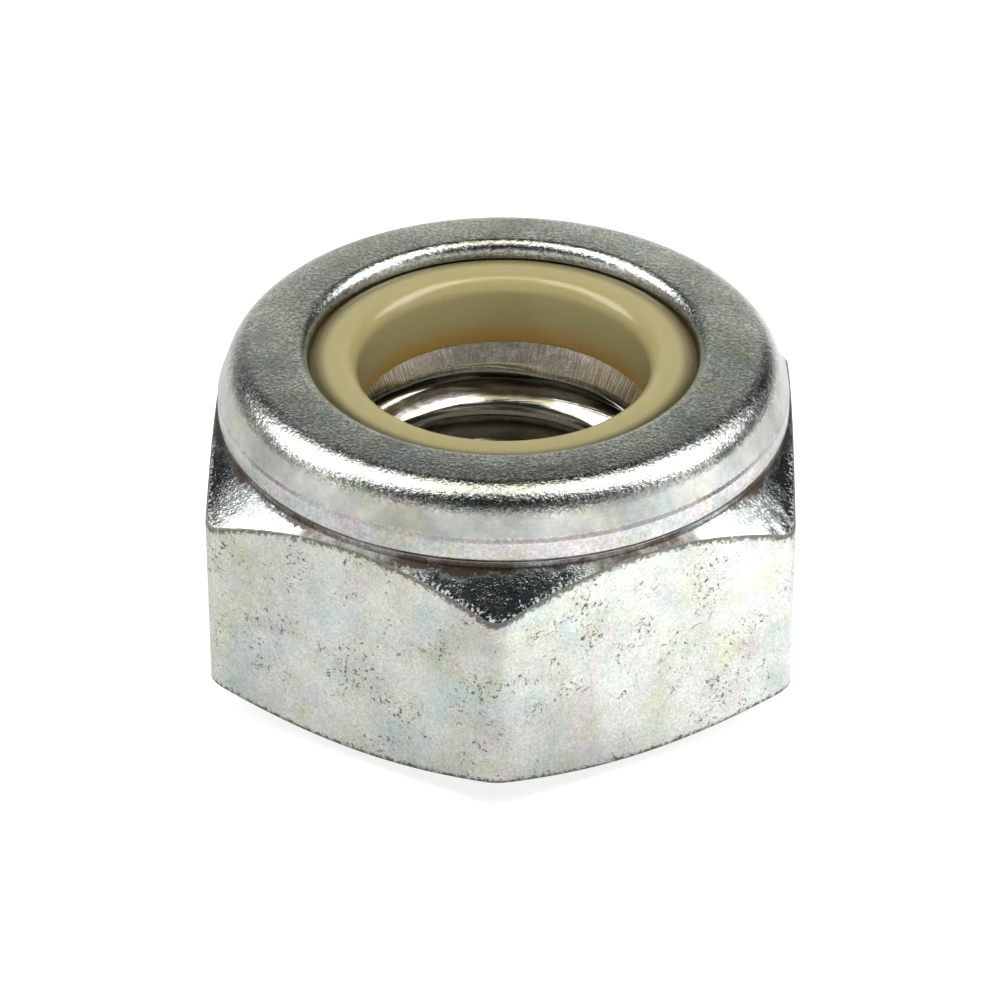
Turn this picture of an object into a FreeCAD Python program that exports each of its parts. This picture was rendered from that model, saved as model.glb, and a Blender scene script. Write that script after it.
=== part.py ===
"""Hexagon lock nut, M10, with a polyamide ring held under a crimped collar.

Millimetres. The nut stands on its bearing face: the origin is the centre of that face, +Z runs
along the thread axis towards the collar, and two opposite corners lie on the Y axis.
The steel is one turned section, with its chamfers, collar, rolled lip, ring seat and bore, cut
to a hexagon. The fine thread isn't modelled: the bore stands at the thread's minor diameter.
"""
import FreeCAD, Part
import math
import os

# Hexagon
across_flats = 17.0
corner_count = 6
corner_radius = 0.73
nut_height = 9.7

# Bearing face and the two chamfers of the hexagon, as slopes from the horizontal
bearing_step = 0.8
underside_angle = 25.0
top_chamfer_angle = 37.9

# Collar: its wall round the ring, and its outside from the top chamfer up to the crimped roll
collar_wall = 1.28
bead_lift = 0.25
bead_height = 0.66
bead_step = 0.06
wall_height = 0.3
wall_taper = 0.14
roll_radius = 1.05

# Lip, folded in over the ring
lip_reach = 1.2
lip_nose_radius = 0.3
lip_underside_angle = 25.0

# Thread, as a plain bore at its minor diameter, with a countersink at each end
thread_diameter = 10.0
thread_pitch = 1.5
entry_step = 0.3
entry_angle = 45.0
run_out_width = 1.04
run_out_angle = 60.0

# Ring, and the seat that holds it. The ring is pressed against the nose of the lip, up to the grip
# angle below the nose's innermost point
ring_bore_step = 0.092
ring_width = 2.62
ring_rim_radius = 0.5
ring_grip_angle = 20.0
seat_wall_height = 1.54
ring_clearance = 0.03

# How far the raw hexagon and the raw section reach past the finished nut
trim_margin = 1.0

# A basic thread is five eighths of its sharp triangle deep
sharp_thread_depth = thread_pitch * math.sqrt(3) / 2
minor_radius = thread_diameter / 2 - sharp_thread_depth * 5 / 8

# From the thread outwards, the ring sits on the thread, the seat round the ring, and the collar
# round the seat
ring_bore_radius = minor_radius + ring_bore_step
seat_radius = ring_bore_radius + ring_width
lip_radius = seat_radius - lip_reach
wall_radius = seat_radius + collar_wall
neck_radius = wall_radius + wall_taper
bead_radius = neck_radius + bead_step

flat_radius = across_flats / 2
point_radius = flat_radius / math.cos(math.pi / corner_count)
blank_radius = max(point_radius, bead_radius) + trim_margin

roll_base = nut_height - roll_radius
bead_top = roll_base - wall_height
bead_bottom = bead_top - bead_height
shoulder_height = bead_bottom - bead_lift


def slope(angle):
    """Return the rise over run of a slope given in degrees."""
    return math.tan(math.radians(angle))


def point(radius, height):
    """Return the point of a half-section at this radius and height."""
    return FreeCAD.Vector(radius, 0, height)


def around(centre, radius, angle):
    """Return the point at this angle on a circle, in degrees up from the outward direction."""
    turn = math.radians(angle)
    return centre + point(radius * math.cos(turn), radius * math.sin(turn))


def arc(centre, radius, start_angle, end_angle):
    """Return a circular arc of a half-section."""
    middle_angle = (start_angle + end_angle) / 2
    angles = (start_angle, middle_angle, end_angle)
    return Part.Arc(*(around(centre, radius, angle) for angle in angles)).toShape()


def ends(step):
    """Return the first and last point of one step of an outline, a point or a curve."""
    if isinstance(step, FreeCAD.Vector):
        return step, step
    return step.firstVertex(True).Point, step.lastVertex(True).Point


def revolve(steps):
    """Join the points and curves of a half-section with straight lines and revolve it about Z."""
    edges = []
    for step, following in zip(steps, steps[1:] + steps[:1]):
        if not isinstance(step, FreeCAD.Vector):
            edges.append(step)
        here = ends(step)[1]
        there = ends(following)[0]
        if here.distanceToPoint(there) > Part.Precision.confusion():
            edges.append(Part.makeLine(here, there))
    section = Part.Face(Part.Wire(edges))
    return section.revolve(FreeCAD.Vector(), FreeCAD.Vector(0, 0, 1), 360)


def lip_centre():
    """Return the centre of the rounded nose of the lip."""
    return point(lip_radius + lip_nose_radius, nut_height - lip_nose_radius)


def lip_underside(radius, gap=0.0):
    """Return the point of the lip's underside at this radius, or of a line a gap below it."""
    contact = around(lip_centre(), lip_nose_radius + gap, 270 - lip_underside_angle)
    return point(radius, contact.z - (radius - contact.x) * slope(lip_underside_angle))


def shelf_height():
    """Return the height of the shelf that the ring stands on."""
    return lip_underside(seat_radius).z - seat_wall_height


def blank():
    """Return what the section is cut to: a hexagonal bar with a round bar above the shoulder.

    The hexagon has rounded upright edges. The round bar leaves the whole collar, also where the
    collar is wider than the flats.
    """
    corners = []
    for index in range(corner_count):
        turn = math.pi / 2 + index * 2 * math.pi / corner_count
        corner = FreeCAD.Vector(math.cos(turn), math.sin(turn), 0) * point_radius
        corners.append(corner - FreeCAD.Vector(0, 0, trim_margin))
    base = Part.Face(Part.makePolygon(corners + corners[:1]))
    bar = base.extrude(FreeCAD.Vector(0, 0, nut_height + 2 * trim_margin))
    uprights = [edge for edge in bar.Edges if edge.BoundBox.ZLength > trim_margin]
    round_bar = Part.makeCylinder(blank_radius, nut_height, FreeCAD.Vector(0, 0, shoulder_height))
    return bar.makeFillet(corner_radius, uprights).fuse(round_bar)


def hexagon_side():
    """Return the section of the two chamfers and the bearing face, from the bore outwards."""
    entry_radius = thread_diameter / 2 + entry_step
    bearing_radius = flat_radius - bearing_step
    lower = (blank_radius - bearing_radius) * slope(underside_angle)
    upper = shoulder_height - (blank_radius - neck_radius) * slope(top_chamfer_angle)
    return [
        point(entry_radius, 0),
        point(bearing_radius, 0),
        point(blank_radius, lower),
        point(blank_radius, upper),
    ]


def collar_side():
    """Return the section of the collar's outside: neck, bead, wall and crimped roll."""
    return [
        point(neck_radius, shoulder_height),
        point(neck_radius, bead_bottom),
        point(bead_radius, bead_bottom + bead_step),
        point(bead_radius, bead_top - bead_step),
        point(neck_radius, bead_top),
        arc(point(wall_radius - roll_radius, roll_base), roll_radius, 0, 90),
    ]


def inside():
    """Return the section of the lip's nose, the ring seat, the bore and its countersinks."""
    shelf = shelf_height()
    run_out_depth = run_out_width * slope(run_out_angle)
    entry_depth = (thread_diameter / 2 + entry_step - minor_radius) * slope(entry_angle)
    return [
        arc(lip_centre(), lip_nose_radius, 90, 270 - lip_underside_angle),
        lip_underside(seat_radius),
        point(seat_radius, shelf),
        point(minor_radius + run_out_width, shelf),
        point(minor_radius, shelf - run_out_depth),
        point(minor_radius, entry_depth),
    ]


def nut_body():
    """Return the steel nut: the turned section cut to its blank."""
    turned = revolve(hexagon_side() + collar_side() + inside())
    return turned.common(blank()).Solids[0]


def insert_ring():
    """Return the polyamide ring, which fills the seat and has a rounded inner rim."""
    shelf = shelf_height()
    outer_radius = seat_radius - ring_clearance
    nose = arc(lip_centre(), lip_nose_radius + ring_clearance, 270 - lip_underside_angle,
               180 + ring_grip_angle)
    top = ends(nose)[1]
    rim = min(ring_rim_radius, top.x - ring_bore_radius)
    ring = revolve([
        point(outer_radius, shelf),
        lip_underside(outer_radius, ring_clearance),
        nose,
        arc(point(ring_bore_radius + rim, top.z - rim), rim, 90, 180),
        point(ring_bore_radius, shelf),
    ])
    return ring.Solids[0]


def main():
    """Write one file for each piece."""
    os.makedirs("parts", exist_ok=True)
    pieces = {"nut_body": nut_body(), "insert_ring": insert_ring()}
    for name, solid in pieces.items():
        solid.exportStep(f"parts/{name}.step")
        print(name, "valid", solid.isValid(), "volume", round(solid.Volume, 2))


main()
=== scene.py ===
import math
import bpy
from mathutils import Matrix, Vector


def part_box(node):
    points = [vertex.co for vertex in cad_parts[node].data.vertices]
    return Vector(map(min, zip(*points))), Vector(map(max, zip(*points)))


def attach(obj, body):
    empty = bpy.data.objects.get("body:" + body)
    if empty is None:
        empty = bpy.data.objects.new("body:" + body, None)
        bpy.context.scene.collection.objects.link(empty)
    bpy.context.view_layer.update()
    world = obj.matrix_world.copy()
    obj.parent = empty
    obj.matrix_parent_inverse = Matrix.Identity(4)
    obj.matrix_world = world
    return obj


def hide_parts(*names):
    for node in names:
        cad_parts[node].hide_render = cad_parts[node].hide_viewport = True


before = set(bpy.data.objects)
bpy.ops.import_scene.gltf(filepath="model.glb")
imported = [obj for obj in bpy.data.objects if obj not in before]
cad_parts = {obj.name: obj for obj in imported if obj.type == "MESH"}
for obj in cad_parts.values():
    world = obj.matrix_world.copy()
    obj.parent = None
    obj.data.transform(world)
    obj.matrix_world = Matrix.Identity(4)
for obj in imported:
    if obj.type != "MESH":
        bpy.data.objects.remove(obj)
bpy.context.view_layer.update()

# A zinc-plated M10 lock nut with a polyamide ring trapped under its crimped collar.
# Lengths are millimetres down to the heading "Studio", and metres below it. Meshes are written in
# metres.
from types import SimpleNamespace

import bpy
import numpy as np

MM = 0.001

# Sizes that the CAD model gives
nut_high = np.array(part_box("nut_body")[1]) / MM
ring_low, ring_high = (np.array(corner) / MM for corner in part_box("insert_ring"))
flat_radius = float(nut_high[0])
nut_height = float(nut_high[2])
ring_radius = float(ring_high[0])
ring_top = float(ring_high[2])
shelf = float(ring_low[2])

# Hexagon and its chamfers. The half side is the angle in radians that half a flat takes up.
corner_count = 6
half_side = math.pi / corner_count
corner_radius = 0.735
bearing_step = 0.8
bearing_radius = flat_radius - bearing_step
underside_slope = math.tan(math.radians(25.0))
chamfer_slope = math.tan(math.radians(37.9))
border_waver = 0.004

# Collar. The bead swells over its rise and ends over its fall. The wall and the crown of the top
# would meet at the roll's corner, but for the roll.
neck_radius = 8.32
bead_radius = 8.38
shoulder = 7.44
bead_bottom = 7.60
bead_rise = 0.10
bead_fall = 0.12
bead_top = 8.35
roll_radius = 1.05
roll_corner_radius = 7.914
roll_corner_drop = 0.09
crown_radius = 8.0
land_radius = 6.6

# Crimped lip and the seat under it
lip_radius = 5.7
nose_corner_radius = 5.76
nose_radius = 0.4
underlip = 9.209
seat_clearance = 0.03
seat_radius = ring_radius + seat_clearance
seat_top = 8.649

# Thread, M10 x 1.5, with a countersink at its foot and a run-out cone up to the shelf
minor_radius = 4.1881
major_radius = 5.0
pitch = 1.5
crest_width = pitch / 4
crest_round = 0.14
crest_height_at_back = 4.73
entry_radius = 5.3
entry_height = entry_radius - major_radius
run_out_slope = math.tan(math.radians(60.0))
run_out_foot = 5.308
run_out_radius = minor_radius + (shelf - run_out_foot) / run_out_slope
root_top = run_out_foot + (major_radius - minor_radius) * run_out_slope

# The cone is turned like the seat down to here, and below it the bore is tapped
turned_foot = 5.9

# Heights between which the rows of the bore lie closest, where the thread is seen from above
close_top = 5.45
close_foot = 3.75

# Ring. The lip presses it from its shoulder, over the pinch, to the edge of its top.
ring_bore = 4.2801
ring_rim = 0.5
ring_shoulder = 8.62
pinch_radius = 5.70
pinch_height = 9.17
ring_top_edge = 5.48

# Columns of the two meshes. The easing is how far those of a flat close up towards its ends.
corner_columns = 9
flat_columns = 50
flat_easing = 0.38
ring_columns = 240

# Sizes of the patterns in the finishes, and how deep they are. Those of the crystals and the tool's
# lines are given with each finish.
cloud_size = 2.0
film_size = 1.5
hammer_size = 0.7
hammer_depth = 0.010
lump_size = 0.10
pit_size = 0.13
pit_patch_size = 1.3
pit_depth = 0.003
craze_size = 0.8
mould_ring_width = 0.08
mould_ring_length = 4
mould_ring_depth = 0.005
mould_grain_size = 0.09
mould_grain_depth = 0.002

# Colours of the passivation film, of what lies on the zinc, and of the polyamide. Of these the
# scale's dark skin and salt specks are partly painted dark reflection and glints, the grime is
# also painted shade along the flats' lower border, the colour in the thread's roots is painted
# shade, and the polyamide's olive is painted shade under the lip.
film_tints = ("#F2C9E2", "#F2EFA4", "#BCE2EC")
scale_and_dark_reflection_colour = "#39454C"
salt_and_glint_colour = "#C9CFD2"
stain_colour = "#41342B"
grime_and_edge_shade_colour = "#40382D"
root_shade_colour = "#4A463C"
cream_colour = "#A1986C"
golden_colour = "#A8823A"
lip_shade_colour = "#463D22"


# Meshes

def corner_half_angle():
    """Half the angle that a rounded corner takes up, in radians, seen from the thread axis."""
    side = (flat_radius - corner_radius) * math.tan(half_side)
    return half_side - math.atan(side / flat_radius)


def cosine_steps(count):
    """Shares of a straight, left out at both ends and closer together towards them."""
    return 0.5 - 0.5 * np.cos(math.pi * np.arange(1, count + 1) / (count + 1))


def column_angles():
    """Angles of the nut's columns in radians, starting on the corner at the back.

    Each sixth of a turn has even steps across the rounded corner, then steps across the flat that
    are an even spacing blended with half a cosine wave, so they close up towards both ends.
    """
    edge = corner_half_angle()
    rounding = np.linspace(-edge, edge, corner_columns)
    even = np.linspace(0, 1, flat_columns + 2)[1:-1]
    eased = (1 - flat_easing) * even + flat_easing * cosine_steps(flat_columns)
    across = edge + (2 * half_side - 2 * edge) * eased
    sixth = np.concatenate([rounding, across])
    starts = math.pi / 2 + np.arange(corner_count) * 2 * half_side
    return (starts[:, None] + sixth[None, :]).ravel()


def hexagon_radius(turn):
    """Radius of the rounded hexagon at each angle.

    The flat is its distance divided by the cosine of the angle from its middle. The rounding is
    d cos b + sqrt(r^2 - d^2 sin^2 b), where b is the angle from the corner, r the rounding's
    radius and d the distance from the axis to its centre.
    """
    from_corner = (turn - math.pi / 2 + half_side) % (2 * half_side) - half_side
    flat = flat_radius / np.cos(half_side - np.abs(from_corner))
    centre = (flat_radius - corner_radius) / math.cos(half_side)
    under_root = corner_radius ** 2 - (centre * np.sin(from_corner)) ** 2
    rounding = centre * np.cos(from_corner) + np.sqrt(np.maximum(under_root, 0))
    return np.where(np.abs(from_corner) < corner_half_angle(), rounding, flat)


def flat_ends(outer):
    """Heights at which the two cones of the chamfers pass through this radius."""
    lower = (outer - bearing_radius) * underside_slope
    upper = shoulder - (outer - neck_radius) * chamfer_slope
    return lower, upper


def wander(turn, seed, waves, lowest, highest):
    """A smooth irregular line round the nut, between -1 and 1 or so.

    It is the sum of sines of whole-number frequencies, with seeded frequencies and phases, divided
    by the square root of half their number.
    """
    dice = np.random.default_rng(seed)
    frequency = dice.integers(lowest, highest, waves)
    phase = dice.uniform(0, 2 * math.pi, waves)
    return np.sin(turn[:, None] * frequency + phase).sum(axis=1) / math.sqrt(waves / 2)


def rounded_line(corners, radii, fillet_steps, run_steps):
    """Rows of points along a line of corners, each corner rounded by an arc.

    corners is corners x columns x 2. The arc leaves each straight at r tan(a / 2) from the corner,
    where a is the turn; its centre is on the corner's bisector at r / cos(a / 2), and its points
    are the spherical blend of the two radii at its ends. Straights get evenly blended rows.
    Returns the rows, and for each row the number of the rounding that it belongs or leads to.
    """
    before, here, after = corners[:-2], corners[1:-1], corners[2:]
    into = here - before
    out = after - here
    into /= np.linalg.norm(into, axis=2, keepdims=True)
    out /= np.linalg.norm(out, axis=2, keepdims=True)
    turn = np.arccos(np.clip((into * out).sum(axis=2, keepdims=True), -1, 1))
    towards = out - into
    towards /= np.linalg.norm(towards, axis=2, keepdims=True)
    radii = np.array(radii)[:, None, None]
    reach = radii * np.tan(turn / 2)
    centre = here + towards * radii / np.cos(turn / 2)
    start = here - into * reach
    end = here + out * reach
    rows = []
    spans = []
    previous = corners[0]
    for index, steps in enumerate(fillet_steps):
        blend = cosine_steps(run_steps[index])[:, None, None]
        rows.append(previous + (start[index] - previous) * blend)
        share = np.linspace(0, 1, steps)[:, None, None]
        angle = turn[index]
        arm_in = start[index] - centre[index]
        arm_out = end[index] - centre[index]
        arc = np.sin((1 - share) * angle) * arm_in + np.sin(share * angle) * arm_out
        rows.append(centre[index] + arc / np.sin(angle))
        spans += [index] * (run_steps[index] + steps)
        previous = end[index]
    blend = cosine_steps(run_steps[-1])[:, None, None]
    rows.append(previous + (corners[-1] - previous) * blend)
    spans += [len(fillet_steps)] * run_steps[-1]
    return np.concatenate(rows), spans


def section(turn, table):
    """Rows of a section at each column, from a table of its corners.

    A line of the table is a corner's radius and height, its rounding, the rows in the rounding
    and the rows on the straight before it. The first and last corner aren't rounded. Returns the
    rows, and which line each of them belongs to, but for the first and the last row.
    """
    steady = np.ones_like(turn)
    corners = np.array([[line[0] * steady, line[1] * steady] for line in table])
    corners = corners.transpose(0, 2, 1)
    rows, spans = rounded_line(
        corners,
        [line[2] for line in table[1:-1]],
        [line[3] for line in table[1:-1]],
        [line[4] for line in table[1:]],
    )
    return np.concatenate([corners[:1], rows, corners[-1:]]), [span + 1 for span in spans]


def thread_radius(turn, height):
    """Radius of the tapped bore at each angle and height.

    A right-hand thread climbs one pitch a turn. With d the height to the nearest crest, a flank at
    60 degrees to its neighbour gives minor + x, with x = (d - crest / 2) sqrt(3). The soft maximum
    (x + sqrt(x^2 + w^2)) / 2 rounds the crest, and the major radius cuts the root. The run-out
    and the countersink are cones that win where they are wider.
    """
    climb = crest_height_at_back + pitch * (turn - math.pi / 2) / (2 * math.pi)
    from_crest = np.abs((height - climb + pitch / 2) % pitch - pitch / 2)
    over = (from_crest - crest_width / 2) * math.sqrt(3)
    thread = minor_radius + 0.5 * (over + np.sqrt(over ** 2 + crest_round ** 2))
    thread = np.minimum(thread, major_radius)
    run_out = minor_radius + (height - run_out_foot) / run_out_slope
    entry = entry_radius - height
    return np.maximum(thread, np.maximum(run_out, entry))


def nut_rows(turn):
    """All rows of the nut's section at each column, and the finish of each row.

    The section runs from the entry countersink outwards over the bearing face, up the hexagon and
    the collar, over the crimped roll, round the nose of the lip, out and down the ring's seat, in
    over the shelf, and down the run-out cone and the thread.
    """
    outer = hexagon_radius(turn)
    lower, upper = flat_ends(outer)
    upper = upper + border_waver * wander(turn, seed=7, waves=40, lowest=30, highest=110)
    table = [
        # radius, height, rounding, rows in the rounding, rows on the straight before it, finish
        (major_radius, entry_height, None, None, None, "bore"),
        (entry_radius, 0.0, 0.08, 4, 1, "bore"),
        (bearing_radius, 0.0, 0.25, 5, 5, "face"),
        (outer, lower, 0.12, 5, 7, "face"),
        (outer, upper, 0.10, 5, 14, "flat"),
        (neck_radius, shoulder, 0.10, 5, 8, "chamfer"),
        (neck_radius, bead_bottom, 0.08, 3, 0, "collar"),
        (bead_radius, bead_bottom + bead_rise, 0.14, 4, 0, "collar"),
        (bead_radius, bead_top - bead_fall, 0.14, 4, 4, "collar"),
        (neck_radius, bead_top, 0.10, 4, 0, "collar"),
        (roll_corner_radius, nut_height - roll_corner_drop, roll_radius, 27, 4, "roll"),
        (land_radius, nut_height, crown_radius, 7, 0, "roll"),
        (nose_corner_radius, nut_height, nose_radius, 13, 6, "roll"),
        (lip_radius, underlip, 0.05, 4, 1, "roll"),
        (seat_radius, seat_top, 0.1, 3, 3, "seat"),
        (seat_radius, shelf, 0.1, 3, 2, "seat"),
        (run_out_radius, shelf, 0.3, 6, 4, "seat"),
        (major_radius, root_top, None, None, 1, "bore"),
    ]
    rows, lines = section(turn, table)
    finish = ["bore"] + [table[line][5] for line in lines] + ["seat"]
    heights = np.concatenate([
        np.linspace(root_top, close_top, 8)[1:],
        np.linspace(close_top, close_foot, 53)[1:],
        np.linspace(close_foot, entry_height, 48)[1:-1],
    ])
    bore = thread_radius(turn[None, :], heights[:, None])
    bore = np.stack([bore, np.repeat(heights[:, None], len(turn), axis=1)], axis=2)
    finish += ["seat" if height > turned_foot else "bore" for height in heights]
    return np.concatenate([rows, bore]), finish


def closed_grid(name, rows, turn, materials, row_material):
    """A closed ring of a mesh: rows of radius and height, carried round the axis by the columns.

    Point = (radius cos angle, radius sin angle, height). Both ways round the grid close on
    themselves. The UV map "surface" holds millimetres: the way round at the widest row, and the
    mean length along the section.
    """
    count, wide = rows.shape[:2]
    x = rows[:, :, 0] * np.cos(turn)
    y = rows[:, :, 0] * np.sin(turn)
    points = np.stack([x, y, rows[:, :, 1]], axis=2).reshape(-1, 3) * MM
    row, column = np.meshgrid(np.arange(count), np.arange(wide), indexing="ij")
    next_row = (row + 1) % count
    next_column = (column + 1) % wide
    faces = np.stack([
        row * wide + column,
        row * wide + next_column,
        next_row * wide + next_column,
        next_row * wide + column,
    ], axis=2).reshape(-1, 4)
    mesh = bpy.data.meshes.new(name)
    mesh.from_pydata(points.tolist(), [], faces.tolist())
    step = np.linalg.norm(np.roll(rows, -1, axis=0) - rows, axis=2).mean(axis=1)
    along = np.concatenate([[0], np.cumsum(step)])
    widest = rows[:, :, 0].max(axis=0)
    edge = np.stack([widest * np.cos(turn), widest * np.sin(turn)], axis=1)
    side = np.linalg.norm(np.roll(edge, -1, axis=0) - edge, axis=1)
    around = np.concatenate([[0], np.cumsum(side)])
    u = np.stack([around[column], around[column + 1], around[column + 1], around[column]], axis=2)
    v = np.stack([along[row], along[row], along[row + 1], along[row + 1]], axis=2)
    surface = mesh.uv_layers.new(name="surface")
    surface.data.foreach_set("uv", np.stack([u, v], axis=3).astype(np.float32).ravel())
    for material in materials:
        mesh.materials.append(material)
    mesh.polygons.foreach_set("material_index", np.repeat(row_material, wide).astype(np.int32))
    mesh.polygons.foreach_set("use_smooth", np.ones(len(faces), bool))
    mesh.update()
    piece = bpy.data.objects.new(name, mesh)
    bpy.context.collection.objects.link(piece)
    return piece


def mark_borders(piece, rows, turn, finish):
    """Write the UV map "borders": millimetres below a flat's upper border, and off its lower one.

    The bearing face has the second too. On a chamfer they are minus the length up the cone from
    the border, and the hexagon's radius at that angle. Elsewhere both are too far off to matter.
    """
    far_off = 9.0
    outer = hexagon_radius(turn)
    lower, upper = flat_ends(outer)
    radius, height = rows[:, :, 0], rows[:, :, 1]
    kind = np.array(finish)[:, None]
    first = np.where(kind == "flat", upper - height, far_off)
    first = np.where(kind == "chamfer", (radius - outer) * math.hypot(1, chamfer_slope), first)
    second = np.where((kind == "flat") | (kind == "face"), np.abs(height - lower), far_off)
    second = np.where(kind == "chamfer", outer, second)
    borders = np.stack([first, second], axis=2).reshape(-1, 2)
    mesh = piece.data
    corners = np.empty(len(mesh.loops), np.int32)
    mesh.loops.foreach_get("vertex_index", corners)
    layer = mesh.uv_layers.new(name="borders")
    layer.data.foreach_set("uv", borders[corners].astype(np.float32).ravel())


def make_nut(finishes):
    """The steel nut, one closed skin whose rows carry the finish that made them."""
    turn = column_angles()
    rows, finish = nut_rows(turn)
    names = list(finishes)
    numbers = np.array([names.index(kind) for kind in finish])
    piece = closed_grid("lock_nut_steel", rows, turn, list(finishes.values()), numbers)
    mark_borders(piece, rows, turn, finish)
    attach(piece, "root")
    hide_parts("nut_body")


def make_ring(material):
    """The polyamide ring: a closed section with a large rounded inner rim, turned about the axis.

    The section starts and ends in the middle of its foot, so its last row is left out.
    """
    turn = np.linspace(0, 2 * math.pi, ring_columns, endpoint=False)
    middle = (ring_bore + ring_radius) / 2
    table = [
        # radius, height, rounding, rows in the rounding, rows on the straight before it
        (middle, shelf, None, None, None),
        (ring_radius, shelf, 0.10, 4, 4),
        (ring_radius, ring_shoulder, 0.12, 4, 3),
        (pinch_radius, pinch_height, 0.04, 3, 4),
        (ring_top_edge, ring_top, 0.4, 7, 2),
        (ring_bore, ring_top, ring_rim, 26, 9),
        (ring_bore, shelf, 0.10, 6, 10),
        (middle, shelf, None, None, 4),
    ]
    rows = section(turn, table)[0][:-1]
    piece = closed_grid("insert_ring_polyamide", rows, turn, [material], np.zeros(len(rows)))
    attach(piece, "root")
    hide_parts("insert_ring")


# Materials

# Inputs are numbered where a node names them alike. On Map Range, 1 and 2 are the ends that it
# reads, and 3 and 4 what they become. On Mix, 0 is the share, and the two colours are 6 and 7, or
# the two numbers 2 and 3. On Math, MULTIPLY_ADD gives 0 times 1 plus 2.

def linear(code):
    """The linear colour of an sRGB hex code."""
    parts = [int(code[i:i + 2], 16) / 255 for i in (1, 3, 5)]
    return [c / 12.92 if c <= 0.04045 else ((c + 0.055) / 1.055) ** 2.4 for c in parts] + [1]


def add(tree, kind, inputs, **settings):
    """Add one node with its settings, and set or link its inputs by name or number.

    A node that is given as an input is linked by its first output that is in use.
    """
    node = tree.nodes.new(kind)
    for name, value in settings.items():
        setattr(node, name, value)
    for name, value in inputs.items():
        if isinstance(value, bpy.types.Node):
            value = next(output for output in value.outputs if output.enabled)
        if isinstance(value, bpy.types.NodeSocket):
            tree.links.new(value, node.inputs[name])
        else:
            node.inputs[name].default_value = value
    return node


def new_material(name):
    """An empty node material and its tree."""
    material = bpy.data.materials.new(name)
    material.use_nodes = True
    material.node_tree.nodes.clear()
    return material, material.node_tree


def millimetre_place(tree):
    """The place on the piece, in millimetres."""
    place = add(tree, "ShaderNodeTexCoord", {})
    return add(tree, "ShaderNodeVectorMath", {0: place.outputs["Object"], 1: (1 / MM,) * 3},
               operation="MULTIPLY")


def axis_distance(tree, spot):
    """The distance of a place from the thread's axis."""
    level = add(tree, "ShaderNodeVectorMath", {0: spot, 1: (1, 1, 0)}, operation="MULTIPLY")
    return add(tree, "ShaderNodeVectorMath", {0: level}, operation="LENGTH")


def bare_skin(name):
    """A new finish of the steel, with what its layers read and what they change.

    They read spot, the place in millimetres, and the two columns of the UV map "borders". They
    change the colour, the roughness, the height in millimetres and how metallic it is.
    """
    material, tree = new_material(name)
    borders = add(tree, "ShaderNodeUVMap", {}, uv_map="borders")
    return SimpleNamespace(
        material=material,
        tree=tree,
        spot=millimetre_place(tree),
        borders=add(tree, "ShaderNodeSeparateXYZ", {0: borders}).outputs,
        metallic=1.0,
    )


def lay_silver(skin, silver, shade, film):
    """Cloudy silver, in patches 2 mm across mottled down to 0.1 mm, under the passivation film.

    The film has three tints, pink, yellow and blue, each in its own soft patches about 1.5 mm
    across.
    """
    tree = skin.tree
    skin.cloud = add(tree, "ShaderNodeTexNoise", {
        "Vector": skin.spot, "Scale": 1 / cloud_size, "Detail": 6, "Roughness": 0.72})
    share = add(tree, "ShaderNodeMapRange", {"Value": skin.cloud, 1: 0.36, 2: 0.64})
    colour = add(tree, "ShaderNodeMix", {0: share, 6: linear(shade), 7: linear(silver)},
                 data_type="RGBA")
    patches = add(tree, "ShaderNodeTexNoise", {
        "Vector": skin.spot, "Scale": 1 / film_size, "Detail": 4, "Roughness": 0.62})
    channels = add(tree, "ShaderNodeSeparateColor", {"Color": patches.outputs["Color"]})
    for channel, tint in zip(channels.outputs, film_tints):
        share = add(tree, "ShaderNodeMapRange", {"Value": channel, 1: 0.48, 2: 0.66, 4: film},
                    interpolation_type="SMOOTHSTEP")
        colour = add(tree, "ShaderNodeMix", {0: share, 6: colour, 7: linear(tint)},
                     data_type="RGBA", blend_type="MULTIPLY")
    skin.colour = colour


def grow_crystals(skin, grain, speckle, smooth_below):
    """Plating grain, coarser than real zinc crystals, so that it shows.

    Below smooth_below, in an uneven line, it is rubbed down to an even satin.
    """
    line_width = 0.25
    tree = skin.tree
    depth, width = grain
    crystal = add(tree, "ShaderNodeTexNoise", {
        "Vector": skin.spot, "Scale": 1 / width, "Detail": 3, "Roughness": 0.75})
    skin.satin = 0.0
    if smooth_below:
        place = add(tree, "ShaderNodeSeparateXYZ", {0: skin.spot})
        level = add(tree, "ShaderNodeMath", {0: skin.cloud, 1: 0.4, 2: place.outputs["Z"]},
                    operation="MULTIPLY_ADD")
        rubbed = add(tree, "ShaderNodeMapRange", {
            "Value": level, 1: smooth_below + line_width, 2: smooth_below})
        crystal = add(tree, "ShaderNodeMix", {0: rubbed, 2: crystal, 3: 0.5})
        skin.satin = add(tree, "ShaderNodeMath", {0: rubbed, 1: 0.14}, operation="MULTIPLY")
    skin.height = add(tree, "ShaderNodeMath", {0: crystal, 1: depth}, operation="MULTIPLY")
    glint = add(tree, "ShaderNodeMapRange", {
        "Value": crystal, 1: 0.35, 2: 0.65, 3: 1 - speckle, 4: 1 + 0.4 * speckle})
    skin.colour = add(tree, "ShaderNodeVectorMath", {0: skin.colour, 1: glint},
                      operation="MULTIPLY")


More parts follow.
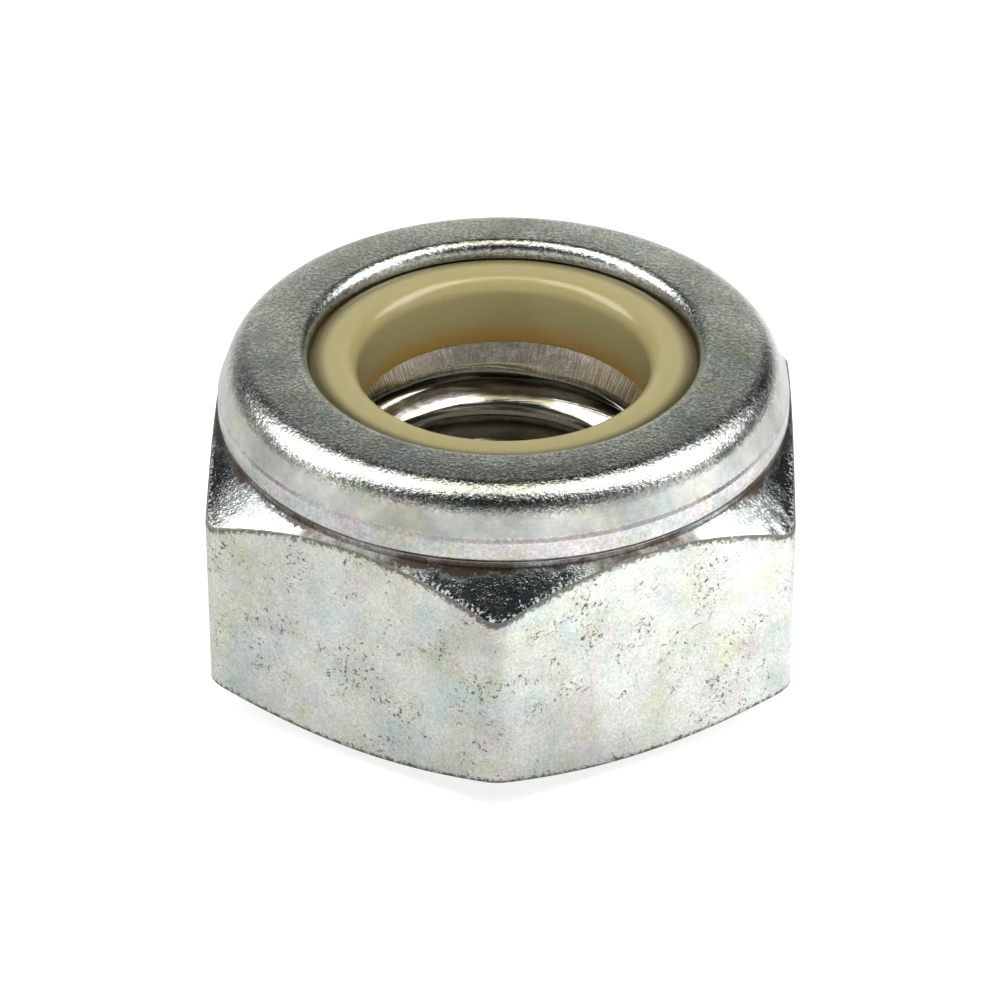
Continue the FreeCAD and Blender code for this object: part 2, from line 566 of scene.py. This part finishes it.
def cut_tool_lines(skin, streaks, gloss):
    """Hammered unevenness of the blank, and tool lines: noise stretched along the surface."""
    tree = skin.tree
    hammer = add(tree, "ShaderNodeTexNoise", {
        "Vector": skin.spot, "Scale": 1 / hammer_size, "Detail": 3})
    height = add(tree, "ShaderNodeMath", {0: hammer, 1: hammer_depth, 2: skin.height},
                 operation="MULTIPLY_ADD")
    depth, around, along = streaks
    surface = add(tree, "ShaderNodeUVMap", {}, uv_map="surface")
    lay = add(tree, "ShaderNodeMapping", {
        "Vector": surface, "Scale": (1 / around, 1 / along, 1)})
    lines = add(tree, "ShaderNodeTexNoise", {
        "Vector": lay, "Scale": 1, "Detail": 3, "Roughness": 0.65})
    skin.height = add(tree, "ShaderNodeMath", {0: lines, 1: depth, 2: height},
                      operation="MULTIPLY_ADD")
    lowest, highest = gloss
    rough = add(tree, "ShaderNodeMapRange", {
        "Value": hammer, 1: 0.3, 2: 0.7, 3: lowest, 4: highest})
    skin.rough = add(tree, "ShaderNodeMath", {0: rough, 1: skin.satin})


def leave_scale_and_painted_speckle(skin, lump_height):
    """Forging scale, from about 0.5 mm above the flats' border up to the neck, partly painted.

    It is a dark skin with specks of bright zinc 0.1 mm across; the dark skin is partly a painted
    dark reflection. White zinc salts, which aren't metallic, gather on the specks along the border,
    and are partly painted glints. The ends of both are read off the first column of "borders",
    the first with 1.6 mm of cloud added.
    """
    zone_start, zone_full = 0.42, 0.22
    rim_top, rim_foot = -0.55, -0.05
    tree = skin.tree
    skin.lumps = add(tree, "ShaderNodeTexNoise", {
        "Vector": skin.spot, "Scale": 1 / lump_size, "Detail": 3, "Roughness": 0.7})
    far = add(tree, "ShaderNodeMath", {0: skin.cloud, 1: 1.6, 2: skin.borders[0]},
              operation="MULTIPLY_ADD")
    zone = add(tree, "ShaderNodeMapRange", {"Value": far, 1: zone_start, 2: zone_full})
    depth = add(tree, "ShaderNodeMath", {0: zone, 1: lump_height}, operation="MULTIPLY")
    skin.height = add(tree, "ShaderNodeMath", {0: skin.lumps, 1: depth, 2: skin.height},
                      operation="MULTIPLY_ADD")
    # Partly painted dark reflection: the scale's dark skin.
    dark = add(tree, "ShaderNodeMapRange", {"Value": skin.lumps, 1: 0.62, 2: 0.54, 4: 0.50})
    dark = add(tree, "ShaderNodeMath", {0: dark, 1: zone}, operation="MULTIPLY")
    colour = add(tree, "ShaderNodeMix", {0: dark, 6: skin.colour, 7: linear(scale_and_dark_reflection_colour)},
                 data_type="RGBA")
    # Partly painted glints: white specks along the border.
    rim = add(tree, "ShaderNodeMapRange", {
        "Value": skin.borders[0], 1: rim_top, 2: rim_foot})
    salt_and_glints = add(tree, "ShaderNodeMath", {0: rim, 1: 0.22, 2: skin.lumps},
                operation="MULTIPLY_ADD")
    salt_and_glints = add(tree, "ShaderNodeMapRange", {"Value": salt_and_glints, 1: 0.68, 2: 0.76, 4: 0.8})
    skin.colour = add(tree, "ShaderNodeMix", {0: salt_and_glints, 6: colour, 7: linear(salt_and_glint_colour)},
                      data_type="RGBA")
    skin.metallic = add(tree, "ShaderNodeMath", {0: 1.0, 1: salt_and_glints}, operation="SUBTRACT")


def stain_foot(skin):
    """A dull brown stain at the collar's foot.

    It covers the chamfer where it is narrow, over the middle of each flat, and runs in a ragged
    line round the neck between. The ends of the first are radii of the hexagon, with a little
    cloud added, and those of the second are radii with most of a millimetre of cloud taken off.
    """
    narrow_end, narrow_full = 8.86, 8.76
    line_end, line_full = 8.08, 7.94
    tree = skin.tree
    narrow = add(tree, "ShaderNodeMath", {0: skin.cloud, 1: 0.25, 2: skin.borders[1]},
                 operation="MULTIPLY_ADD")
    narrow = add(tree, "ShaderNodeMapRange", {
        "Value": narrow, 1: narrow_end, 2: narrow_full})
    foot = add(tree, "ShaderNodeMath", {0: skin.lumps, 1: 0.3, 2: axis_distance(tree, skin.spot)},
               operation="MULTIPLY_ADD")
    foot = add(tree, "ShaderNodeMath", {0: skin.cloud, 1: -1.2, 2: foot},
               operation="MULTIPLY_ADD")
    foot = add(tree, "ShaderNodeMapRange", {"Value": foot, 1: line_end, 2: line_full})
    stained = add(tree, "ShaderNodeMath", {0: narrow, 1: foot}, operation="MAXIMUM")
    skin.rough = add(tree, "ShaderNodeMath", {0: stained, 1: 0.28, 2: skin.rough},
                     operation="MULTIPLY_ADD")
    patch = add(tree, "ShaderNodeMapRange", {
        "Value": skin.cloud, 1: 0.42, 2: 0.54, 3: 0.55, 4: 0.95})
    brown = add(tree, "ShaderNodeMath", {0: stained, 1: patch}, operation="MULTIPLY")
    skin.colour = add(tree, "ShaderNodeMix", {
        0: brown, 6: skin.colour, 7: linear(stain_colour)}, data_type="RGBA")


def mark_with_wear_and_edge_shade(skin, marks):
    """Pits, crazing, and a thin dark ragged line along the borders: grime along the upper border,
    and painted shade along the lower one.

    Pits are specks 0.05 to 0.15 mm wide, where two fields of noise are both high. Crazing is
    short curved lines, where a contour of noise crosses a patchy mask. The ends of the line are
    millimetres from a border, less up to 0.6 mm of noise.
    """
    line_edge, line_core = 0.017, 0.004
    grime_and_shade_end, grime_and_shade_full = -0.15, -0.26
    tree = skin.tree
    fine = add(tree, "ShaderNodeTexNoise", {
        "Vector": skin.spot, "Scale": 1 / pit_size, "Detail": 2, "Roughness": 0.7})
    where = add(tree, "ShaderNodeTexNoise", {
        "Vector": skin.spot, "Scale": 1 / pit_patch_size, "Detail": 2})
    both = add(tree, "ShaderNodeMath", {0: where, 1: 0.5, 2: fine}, operation="MULTIPLY_ADD")
    pit = add(tree, "ShaderNodeMapRange", {"Value": both, 1: 0.98 - marks, 2: 1.03 - marks})

    craze = add(tree, "ShaderNodeTexNoise", {
        "Vector": skin.spot, "Scale": 1 / craze_size, "Detail": 3, "Roughness": 0.62})
    off = add(tree, "ShaderNodeMath", {0: craze, 1: 0.5}, operation="SUBTRACT")
    off = add(tree, "ShaderNodeMath", {0: off}, operation="ABSOLUTE")
    thin = add(tree, "ShaderNodeMapRange", {"Value": off, 1: line_edge, 2: line_core})
    patchy = add(tree, "ShaderNodeMath", {0: fine, 1: 0.25, 2: where}, operation="MULTIPLY_ADD")
    patchy = add(tree, "ShaderNodeMapRange", {
        "Value": patchy, 1: 0.68 - marks, 2: 0.78 - marks})
    broken = add(tree, "ShaderNodeMapRange", {"Value": fine, 1: 0.47, 2: 0.57})
    line = add(tree, "ShaderNodeMath", {0: thin, 1: patchy}, operation="MULTIPLY")
    line = add(tree, "ShaderNodeMath", {0: line, 1: broken}, operation="MULTIPLY")

    dark = add(tree, "ShaderNodeMath", {0: line, 1: pit}, operation="MAXIMUM")
    # The first border gets grime, and the second, the lower border, a painted shade line.
    for border, amount in zip(skin.borders, (0.9, 1.0)):
        ragged = add(tree, "ShaderNodeMath", {0: fine, 1: -0.6, 2: border},
                     operation="MULTIPLY_ADD")
        grime = add(tree, "ShaderNodeMapRange", {
            "Value": ragged, 1: grime_and_shade_end, 2: grime_and_shade_full, 4: amount})
        dark = add(tree, "ShaderNodeMath", {0: dark, 1: grime}, operation="MAXIMUM")
    dim = add(tree, "ShaderNodeMath", {0: dark, 1: 0.75}, operation="MULTIPLY")
    skin.colour = add(tree, "ShaderNodeMix", {
        0: dim, 6: skin.colour, 7: linear(grime_and_edge_shade_colour)}, data_type="RGBA")
    skin.height = add(tree, "ShaderNodeMath", {0: dark, 1: -pit_depth, 2: skin.height},
                      operation="MULTIPLY_ADD")
    skin.rough = add(tree, "ShaderNodeMath", {0: dark, 1: 0.3, 2: skin.rough},
                     operation="MULTIPLY_ADD")


def paint_root_shade(skin, amount):
    """Painted shade in the roots of the thread, darker towards the major radius."""
    root_shade_edge, root_shade_full = 4.72, 4.95
    tree = skin.tree
    root = add(tree, "ShaderNodeMapRange", {
        "Value": axis_distance(tree, skin.spot), 1: root_shade_edge, 2: root_shade_full, 4: amount})
    skin.colour = add(tree, "ShaderNodeMix", {
        0: root, 6: skin.colour, 7: linear(root_shade_colour)}, data_type="RGBA")


def zinc_plated_steel(name, silver, shade, film, grain, speckle, streaks, gloss,
                      marks=0, scale=0, smooth_below=0, root_shade_amount=0):
    """Zinc-plated steel, clear passivated, over a forged, turned or tapped surface.

    Electroplated zinc is a soft, slightly greenish silver whose fine crystals scatter the edges
    of a highlight. The passivation film adds faint pink, yellow and blue patches.
    silver and shade are its lighter and darker colour, film the strength of the patches, grain
    the height and the width of the crystals, speckle their unevenness in brightness, streaks the
    depth and the (round, along) sizes of the tool's lines, and gloss the lowest and highest
    roughness. marks is how many pits and crazed lines there are, with grime along the upper
    border and painted shade along the lower one. scale is the height of the forging scale's
    lumps, whose dark skin and white specks are partly painted dark reflection and glints.
    smooth_below is the height under which the crystals are rubbed smooth, and residue how strong
    the painted shade in the roots of the thread is.
    """
    skin = bare_skin(name)
    lay_silver(skin, silver, shade, film)
    grow_crystals(skin, grain, speckle, smooth_below)
    cut_tool_lines(skin, streaks, gloss)
    if scale:
        leave_scale_and_painted_speckle(skin, scale)
        stain_foot(skin)
    if marks:
        mark_with_wear_and_edge_shade(skin, marks)
    if root_shade_amount:
        paint_root_shade(skin, root_shade_amount)
    bump = add(skin.tree, "ShaderNodeBump", {"Height": skin.height, "Distance": MM})
    metal = add(skin.tree, "ShaderNodeBsdfPrincipled", {
        "Base Color": skin.colour,
        "Metallic": skin.metallic,
        "Roughness": skin.rough,
        "Normal": bump,
    })
    add(skin.tree, "ShaderNodeOutputMaterial", {"Surface": metal})
    return skin.material


def moulded_polyamide():
    """Natural polyamide 66, injection moulded: a milky, waxy cream that light soaks into.

    It turns golden brown towards the foot of the bore, and carries a painted olive shade where
    the lip overhangs its top. It keeps a satin highlight with faint rings from the mould.
    """
    golden_start, golden_full = shelf + 1.3, shelf + 0.1
    lip_shade_start, lip_shade_full = 5.10, 5.50
    material, tree = new_material("natural polyamide, moulded")
    spot = millimetre_place(tree)
    place = add(tree, "ShaderNodeSeparateXYZ", {0: spot})
    cloud = add(tree, "ShaderNodeTexNoise", {"Vector": spot, "Scale": 1 / film_size, "Detail": 3})
    uneven = add(tree, "ShaderNodeMath", {0: cloud, 1: 0.5, 2: place.outputs["Z"]},
                 operation="MULTIPLY_ADD")
    foot = add(tree, "ShaderNodeMapRange", {"Value": uneven, 1: golden_start, 2: golden_full},
               interpolation_type="SMOOTHSTEP")
    colour = add(tree, "ShaderNodeMix", {
        0: foot, 6: linear(cream_colour), 7: linear(golden_colour)}, data_type="RGBA")
    # Painted shade: an olive darkening of the top's outer part, under the lip's overhang.
    painted_lip_shade = add(tree, "ShaderNodeMapRange", {
        "Value": axis_distance(tree, spot), 1: lip_shade_start, 2: lip_shade_full, 4: 0.85},
        interpolation_type="SMOOTHSTEP")
    colour = add(tree, "ShaderNodeMix", {0: painted_lip_shade, 6: colour, 7: linear(lip_shade_colour)},
                 data_type="RGBA")
    surface = add(tree, "ShaderNodeUVMap", {}, uv_map="surface")
    lay = add(tree, "ShaderNodeMapping", {
        "Vector": surface, "Scale": (1 / mould_ring_length, 1 / mould_ring_width, 1)})
    rings = add(tree, "ShaderNodeTexNoise", {"Vector": lay, "Scale": 1, "Detail": 2})
    grain = add(tree, "ShaderNodeTexNoise", {
        "Vector": spot, "Scale": 1 / mould_grain_size, "Detail": 2})
    height = add(tree, "ShaderNodeMath", {0: rings, 1: mould_ring_depth}, operation="MULTIPLY")
    height = add(tree, "ShaderNodeMath", {0: grain, 1: mould_grain_depth, 2: height},
                 operation="MULTIPLY_ADD")
    bump = add(tree, "ShaderNodeBump", {"Height": height, "Distance": MM})
    plastic = add(tree, "ShaderNodeBsdfPrincipled", {
        "Base Color": colour,
        "Roughness": 0.20,
        "IOR": 1.53,
        "Subsurface Weight": 0.8,
        "Subsurface Radius": (1.0, 0.85, 0.5),
        "Subsurface Scale": 1.2 * MM,
        "Normal": bump,
    })
    add(tree, "ShaderNodeOutputMaterial", {"Surface": plastic})
    return material


# Studio

# Lengths from here on are metres, apart from the camera's, which are millimetres. Azimuths are
# degrees from +X.

def ray_share(tree, *kinds):
    """1 for these kinds of ray, and 0 for all others."""
    path = add(tree, "ShaderNodeLightPath", {})
    share = path.outputs[kinds[0]]
    for kind in kinds[1:]:
        share = add(tree, "ShaderNodeMath", {0: share, 1: path.outputs[kind]},
                    operation="MAXIMUM")
    return share


def direction(azimuth, elevation):
    """The unit vector (cos e cos a, cos e sin a, sin e), for one pair of angles or for arrays."""
    a, e = np.radians(azimuth), np.radians(elevation)
    return np.stack([np.cos(e) * np.cos(a), np.cos(e) * np.sin(a), np.sin(e)], axis=-1)


def studio_card(name, azimuths, elevations, colour, distance):
    """A glowing card that only shows in reflections, as one held outside the picture does.

    It is part of a sphere round the nut, between two azimuths and elevations.
    Point = distance times direction(azimuth, elevation).
    """
    wide, high = 25, 17
    angles = np.meshgrid(np.linspace(*azimuths, wide), np.linspace(*elevations, high),
                         indexing="ij")
    points = direction(*angles).reshape(-1, 3) * distance
    first = (np.arange(wide - 1)[:, None] * high + np.arange(high - 1)[None, :]).ravel()
    faces = np.stack([first, first + 1, first + high + 1, first + high], axis=1)
    mesh = bpy.data.meshes.new(name)
    mesh.from_pydata(points.tolist(), [], faces.tolist())
    card = bpy.data.objects.new(name, mesh)
    bpy.context.collection.objects.link(card)
    card.visible_camera = False
    card.visible_diffuse = False
    card.visible_transmission = False
    card.visible_shadow = False
    material, tree = new_material(name)
    glow = add(tree, "ShaderNodeEmission", {"Color": linear(colour)})
    add(tree, "ShaderNodeOutputMaterial", {"Surface": glow})
    mesh.materials.append(material)


def softbox(name, azimuth, elevation, distance, wide, high, radiance, colour):
    """A rectangular lamp that faces the nut.

    Its power is four times its radiance times its area.
    """
    lamp = bpy.data.lights.new(name, "AREA")
    lamp.shape = "RECTANGLE"
    lamp.size = wide
    lamp.size_y = high
    lamp.energy = 4 * radiance * wide * high
    lamp.color = linear(colour)[:3]
    box = bpy.data.objects.new(name, lamp)
    box.location = direction(azimuth, elevation) * distance
    box.rotation_euler = (math.radians(90 - elevation), 0, math.radians(azimuth + 90))
    bpy.context.collection.objects.link(box)
    return box


def painted_floor_reflection(tree, place):
    """A painted glow on the paper that only reflections see, standing in for how brightly the
    metal sees the paper.

    It is painted light, brighter to the right, with painted shade behind the nut, a painted soft
    shadow before the front corner, and dark under it.
    """
    dimmest_x, brightest_x = -0.00966, 0.01345
    back_start, back_full = -0.002, 0.006
    painted_shadow_middle = (0, -0.0135, 0)
    painted_shadow_core, painted_shadow_edge = 0.003, 0.009
    under_edge, clear_edge = 0.007, 0.010
    parts = add(tree, "ShaderNodeSeparateXYZ", {0: place})
    # Painted light, rising towards the right.
    rising = add(tree, "ShaderNodeMapRange", {
        "Value": parts.outputs["X"], 1: dimmest_x, 2: brightest_x, 3: 0.33, 4: 1.0})
    # Painted shade behind the nut.
    behind = add(tree, "ShaderNodeMapRange", {
        "Value": parts.outputs["Y"], 1: back_start, 2: back_full, 3: 1.0, 4: 0.44},
        interpolation_type="SMOOTHSTEP")
    # Painted soft shadow before the front corner.
    front = add(tree, "ShaderNodeVectorMath", {0: place, 1: painted_shadow_middle},
                operation="DISTANCE")
    shadow = add(tree, "ShaderNodeMapRange", {
        "Value": front, 1: painted_shadow_core, 2: painted_shadow_edge, 3: 0.25, 4: 1.0},
        interpolation_type="SMOOTHSTEP")
    # Painted dark under the nut.
    reach = add(tree, "ShaderNodeVectorMath", {0: place}, operation="LENGTH")
    clear = add(tree, "ShaderNodeMapRange", {"Value": reach, 1: under_edge, 2: clear_edge})
    painted_shine = rising
    for share in (behind, shadow, clear):
        painted_shine = add(tree, "ShaderNodeMath", {0: painted_shine, 1: share}, operation="MULTIPLY")
    return painted_shine


def make_floor():
    """A sheet of pale paper just under the nut, which the camera sees as white."""
    half, level = 2.0, -2e-5
    camera_glow = 0.68
    mesh = bpy.data.meshes.new("floor")
    corners = [(-half, -half, level), (half, -half, level), (half, half, level),
               (-half, half, level)]
    mesh.from_pydata(corners, [], [(0, 1, 2, 3)])
    floor = bpy.data.objects.new("floor", mesh)
    bpy.context.collection.objects.link(floor)
    material, tree = new_material("white paper floor")
    place = add(tree, "ShaderNodeTexCoord", {}).outputs["Object"]
    paper = add(tree, "ShaderNodeBsdfDiffuse", {"Color": (0.55, 0.55, 0.55, 1)})
    # In reflections the paper adds a painted glow, with painted light and painted shadow round the
    # nut.
    reflected = ray_share(tree, "Is Glossy Ray", "Is Transmission Ray")
    painted_shine = add(tree, "ShaderNodeMath", {0: painted_floor_reflection(tree, place), 1: reflected},
                operation="MULTIPLY")
    seen = ray_share(tree, "Is Camera Ray")
    strength = add(tree, "ShaderNodeMath", {0: seen, 1: camera_glow, 2: painted_shine},
                   operation="MULTIPLY_ADD")
    glow = add(tree, "ShaderNodeEmission", {"Strength": strength})
    both = add(tree, "ShaderNodeAddShader", {0: paper, 1: glow})
    add(tree, "ShaderNodeOutputMaterial", {"Surface": both})
    mesh.materials.append(material)


def make_surroundings():
    """White to the camera and in reflections, but only a faint light on things."""
    world = bpy.data.worlds.new("studio")
    world.use_nodes = True
    tree = world.node_tree
    tree.nodes.clear()
    shown = ray_share(tree, "Is Camera Ray", "Is Glossy Ray", "Is Transmission Ray")
    level = add(tree, "ShaderNodeMapRange", {"Value": shown, 3: 0.08, 4: 1.0})
    air = add(tree, "ShaderNodeBackground", {"Strength": level})
    add(tree, "ShaderNodeOutputWorld", {"Surface": air})
    bpy.context.scene.world = world


def make_lamps():
    """A softbox on each side and one above, and a lamp in front that the metal doesn't show."""
    lamps = [
        # name, azimuth, elevation, distance, width, height, radiance, colour
        ("softbox left", 171, 52, 0.45, 0.24, 0.42, 3.4, "#FFFFFF"),
        ("softbox right", 6, 52, 0.45, 0.24, 0.42, 3.7, "#FFFFFF"),
        ("softbox above", 90, 87, 0.5, 0.30, 0.15, 2.0, "#FFF6CF"),
        ("fill from the front", 271, 16, 0.45, 0.34, 0.22, 5.0, "#FFFFFF"),
    ]
    boxes = [softbox(*lamp) for lamp in lamps]
    fill = boxes[-1]
    fill.visible_camera = False
    fill.visible_glossy = False


def make_cards():
    """Cards round the nut: dark ones for the roll, grey and white ones for the flats and collar."""
    cards = [
        # name, azimuths, elevations, colour, distance
        ("dark card front", (-173, -9), (43, 82), "#2A3439", 0.6),
        ("grey card front", (-173, -9), (24, 43), "#5E5E5C", 0.6),
        ("low card front", (-173, -9), (-1, 24), "#FBF5F2", 0.6),
        ("dark card back", (23, 155), (-1, 74), "#34383A", 0.6),
        ("dark card high", (23, 152), (44, 78), "#12181E", 0.55),
        ("grey card back", (64, 116), (4, 36), "#D6D8D0", 0.5),
        ("edge card back", (116, 130), (-1, 20), "#B4B6B4", 0.5),
        ("low card left", (154, 187), (-1, 24), "#A8A4A0", 0.6),
        ("low card right", (-8, 26), (-1, 24), "#706E6C", 0.6),
    ]
    for card in cards:
        studio_card(*card)


def make_camera():
    """The photograph's camera: 153 mm from the nut, 33.25 degrees up, with a long lens.

    Its place is given in millimetres along its own three directions.
    """
    right_by, up_by, back_by = -0.1027, 3.5445, 153.104
    lift = math.radians(33.25)
    swing = math.radians(1.21)
    turn = np.array([
        [math.cos(swing), -math.sin(swing), 0],
        [math.sin(swing), math.cos(swing), 0],
        [0, 0, 1],
    ])
    right = turn @ (1, 0, 0)
    up = turn @ (0, math.sin(lift), math.cos(lift))
    back = turn @ (0, -math.cos(lift), math.sin(lift))
    data = bpy.data.cameras.new("camera")
    data.sensor_width = 36
    data.lens = 182.4
    data.clip_start = 0.01
    data.clip_end = 10
    camera = bpy.data.objects.new("camera", data)
    camera.location = (right * right_by + up * up_by + back * back_by) * MM
    camera.rotation_euler = (math.pi / 2 - lift, 0, swing)
    bpy.context.collection.objects.link(camera)
    bpy.context.scene.camera = camera


finishes = {
    "flat": zinc_plated_steel(
        "zinc plate on forged flats", "#DCDFDB", "#C4C9C2", film=0.25, grain=(0.008, 0.08),
        speckle=0.24, streaks=(0.002, 5.0, 0.12), gloss=(0.26, 0.38), marks=0.06),
    "face": zinc_plated_steel(
        "zinc plate on the bearing face", "#D0D3CE", "#B9BCB6", film=0.12, grain=(0.006, 0.09),
        speckle=0.15, streaks=(0.004, 9.0, 0.08), gloss=(0.26, 0.40), marks=0.03),
    "chamfer": zinc_plated_steel(
        "zinc plate on turned chamfers", "#CED2CE", "#B0B5B0", film=0.10, grain=(0.004, 0.10),
        speckle=0.2, streaks=(0.001, 3.0, 0.10), gloss=(0.10, 0.16), scale=0.0075),
    "collar": zinc_plated_steel(
        "zinc plate on the collar", "#DAD8D8", "#BFBDBE", film=0.32, grain=(0.008, 0.11),
        speckle=0.25, streaks=(0.0015, 9.0, 0.12), gloss=(0.16, 0.24)),
    "roll": zinc_plated_steel(
        "zinc plate on the crimped roll", "#E2E5E1", "#B8BCB7", film=0.24, grain=(0.020, 0.11),
        speckle=0.50, streaks=(0.0014, 7.0, 0.12), gloss=(0.07, 0.12), smooth_below=9.1),
    "seat": zinc_plated_steel(
        "zinc plate in the ring seat", "#ECE9DC", "#CFCBBC", film=0.1, grain=(0.003, 0.07),
        speckle=0.15, streaks=(0.03, 0.16, 3.0), gloss=(0.12, 0.20)),
    "bore": zinc_plated_steel(
        "zinc plate in the tapped bore", "#D2D0C8", "#B0ACA0", film=0.1, grain=(0.002, 0.07),
        # The bore's residue is painted shade in the thread's roots.
        speckle=0.1, streaks=(0.004, 9.0, 0.06), gloss=(0.08, 0.16), root_shade_amount=0.75),
}
make_nut(finishes)
make_ring(moulded_polyamide())
make_floor()
make_surroundings()
make_lamps()
make_cards()
make_camera()

bpy.context.scene.view_settings.view_transform = "Standard"
